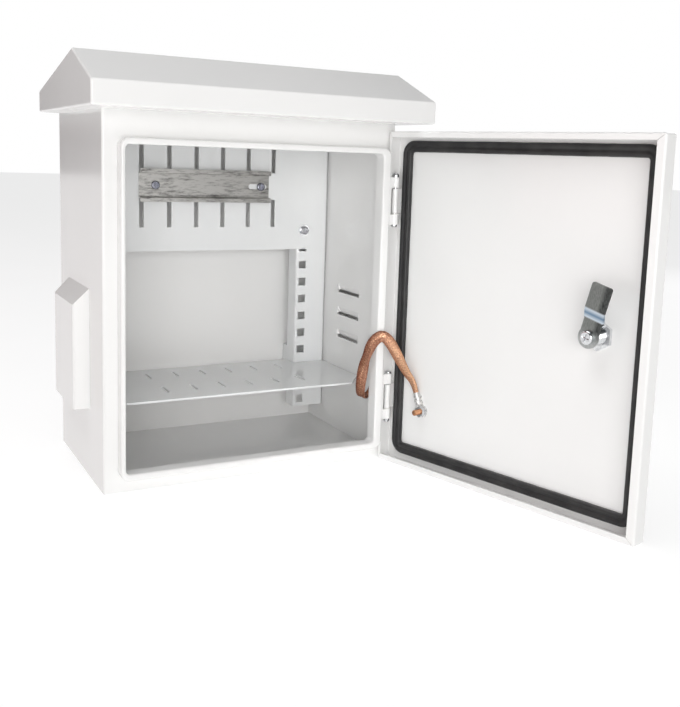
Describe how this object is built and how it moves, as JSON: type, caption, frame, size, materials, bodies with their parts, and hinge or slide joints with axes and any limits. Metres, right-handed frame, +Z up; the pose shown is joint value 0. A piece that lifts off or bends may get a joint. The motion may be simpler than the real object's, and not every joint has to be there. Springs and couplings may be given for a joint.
{
  "type": "utility cabinet",
  "caption": "Small gabled sheet-steel utility cabinet with a hinged sealed door, cam lock, shelf, rail, mounting panel and braided earth strap.",
  "frame": {"origin": "centre of the cabinet body's bottom face", "axes": "front towards -Y, +X to the right as seen from the front, +Z up; the door stands open"},
  "size_m": [0.4066, 0.4879, 0.4059],
  "materials": {
    "white_paint": "satin powder coat",
    "grey_paint": "satin powder coat",
    "galvanised": "spangled zinc",
    "zinc": "bright zinc plate",
    "nylon": "natural nylon",
    "copper": "copper plated",
    "copper_braid": "woven braid",
    "black_rubber": "foamed",
    "zinc_casting": "die cast, plated",
    "cam_steel": "zinc plated"
  },
  "bodies": {
    "cabinet": {"cabinet_shell": "white_paint", "rain_hood": "white_paint", "hood_screws": "zinc", "hood_nuts": "zinc", "right_vent_hood": "white_paint", "left_vent_hood": "white_paint", "right_upright": "grey_paint", "left_upright": "grey_paint", "upright_brackets": "grey_paint", "mounting_panel": "grey_paint", "din_rail": "galvanised", "din_rail_screws": "zinc", "din_rail_nuts": "zinc", "shelf": "grey_paint", "rack_screws": "zinc", "rack_washers": "zinc", "cage_nuts": "zinc", "lower_hinge_frame_leaf": "white_paint", "upper_hinge_frame_leaf": "white_paint", "lower_hinge_pin": "zinc", "upper_hinge_pin": "zinc", "hinge_washers": "nylon", "wall_earth_stud": "copper", "wall_strap_lug": "zinc", "wall_earth_nut": "zinc", "earth_strap": "copper_braid"},
    "door": {"door_panel": "white_paint", "door_gasket": "black_rubber", "lower_hinge_door_leaf": "white_paint", "upper_hinge_door_leaf": "white_paint", "lock_body": "zinc_casting", "lock_nut": "zinc_casting", "door_earth_stud": "copper", "door_strap_lug": "zinc", "door_earth_nut": "zinc"},
    "lock": {"lock_core": "zinc_casting", "lock_cam": "cam_steel", "cam_screw": "zinc_casting"}
  },
  "joints": [
    {"name": "door_hinge", "type": "hinge", "parent": "cabinet", "child": "door", "pos_m": [0.1473, -0.1018, 0.1714], "axis": [0, 0, 1], "range_deg": [-105.5, 4.5], "deforming": ["earth_strap"]},
    {"name": "cam_turn", "type": "hinge", "parent": "door", "child": "lock", "pos_m": [0.20542, -0.33868, 0.1727], "axis": [-0.9636, -0.2672, 0], "range_deg": [-75, 15]}
  ]
}
